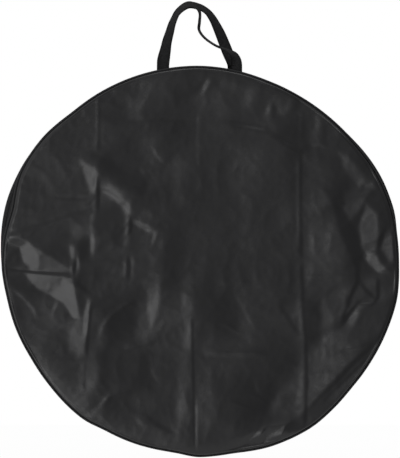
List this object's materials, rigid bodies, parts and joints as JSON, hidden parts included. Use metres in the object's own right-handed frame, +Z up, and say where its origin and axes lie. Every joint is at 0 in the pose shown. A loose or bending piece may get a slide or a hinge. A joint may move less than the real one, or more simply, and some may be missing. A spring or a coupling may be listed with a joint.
{
  "type": "bike wheel bag",
  "caption": "Round flat cloth bag for one bicycle wheel, with bound seams, a zip over its upper half and webbing carry handles.",
  "frame": {"origin": "where a level hook passes through both handle loops, against the underside of the back strap, above the middle of the bag", "axes": "+Z up, +X to the right as seen from the front, -Y out of the front panel"},
  "size_m": [0.7, 0.0505, 0.8046],
  "materials": {
    "panel_cloth": "thin black coated polyester, soft sheen, creased",
    "band_cloth": "the same coated polyester, side strip",
    "binding_tape": "black ribbed binding tape, matt",
    "zip_tape": "black knitted zip tape, matt",
    "coil_nylon": "black nylon coil",
    "webbing": "black woven polypropylene webbing, matt",
    "slider_metal": "dark plated die-cast metal"
  },
  "bodies": {
    "bag": {"front_panel_lower": "panel_cloth", "back_panel": "panel_cloth", "gusset_strip": "band_cloth", "zip_end_tab_left": "band_cloth", "zip_end_tab_right": "band_cloth", "front_binding_lower": "binding_tape", "back_binding": "binding_tape", "zip_tape_back": "zip_tape", "zip_tape_tail_left": "zip_tape", "zip_tape_tail_right": "zip_tape", "zip_coil_back": "coil_nylon", "zip_coil_tail_left": "coil_nylon", "zip_coil_tail_right": "coil_nylon", "back_handle_end_left": "webbing", "back_handle_end_right": "webbing"},
    "front_flap": {"front_panel_flap": "panel_cloth", "front_binding_upper": "binding_tape", "zip_tape_front": "zip_tape", "zip_coil_front": "coil_nylon", "front_handle_end_left": "webbing", "front_handle_end_right": "webbing"},
    "front_handle": {"front_handle": "webbing"},
    "back_handle": {"back_handle": "webbing"},
    "zip_slider": {"zip_slider_body": "slider_metal"},
    "zip_pull": {"zip_pull_tab": "slider_metal"}
  },
  "joints": [
    {"name": "front_flap_fold", "type": "hinge", "parent": "bag", "child": "front_flap", "pos_m": [0, -0.0243, -0.44714], "axis": [1, 0, 0], "range_deg": [0, 160]},
    {"name": "front_handle_fold", "type": "hinge", "parent": "front_flap", "child": "front_handle", "pos_m": [0, -0.013, -0.09325], "axis": [1, 0, 0], "range_deg": [0, 120]},
    {"name": "back_handle_fold", "type": "hinge", "parent": "bag", "child": "back_handle", "pos_m": [0, 0.013, -0.09325], "axis": [-1, 0, 0], "range_deg": [0, 140]},
    {"name": "zip_slide", "type": "hinge", "parent": "bag", "child": "zip_slider", "pos_m": [0, 0, -0.44714], "axis": [0, -1, 0], "range_deg": [0, 184.9]},
    {"name": "pull_tab_swing", "type": "hinge", "parent": "zip_slider", "child": "zip_pull", "pos_m": [0.34718, 0, -0.46203], "axis": [0, -1, 0], "range_deg": [0, 165]}
  ]
}
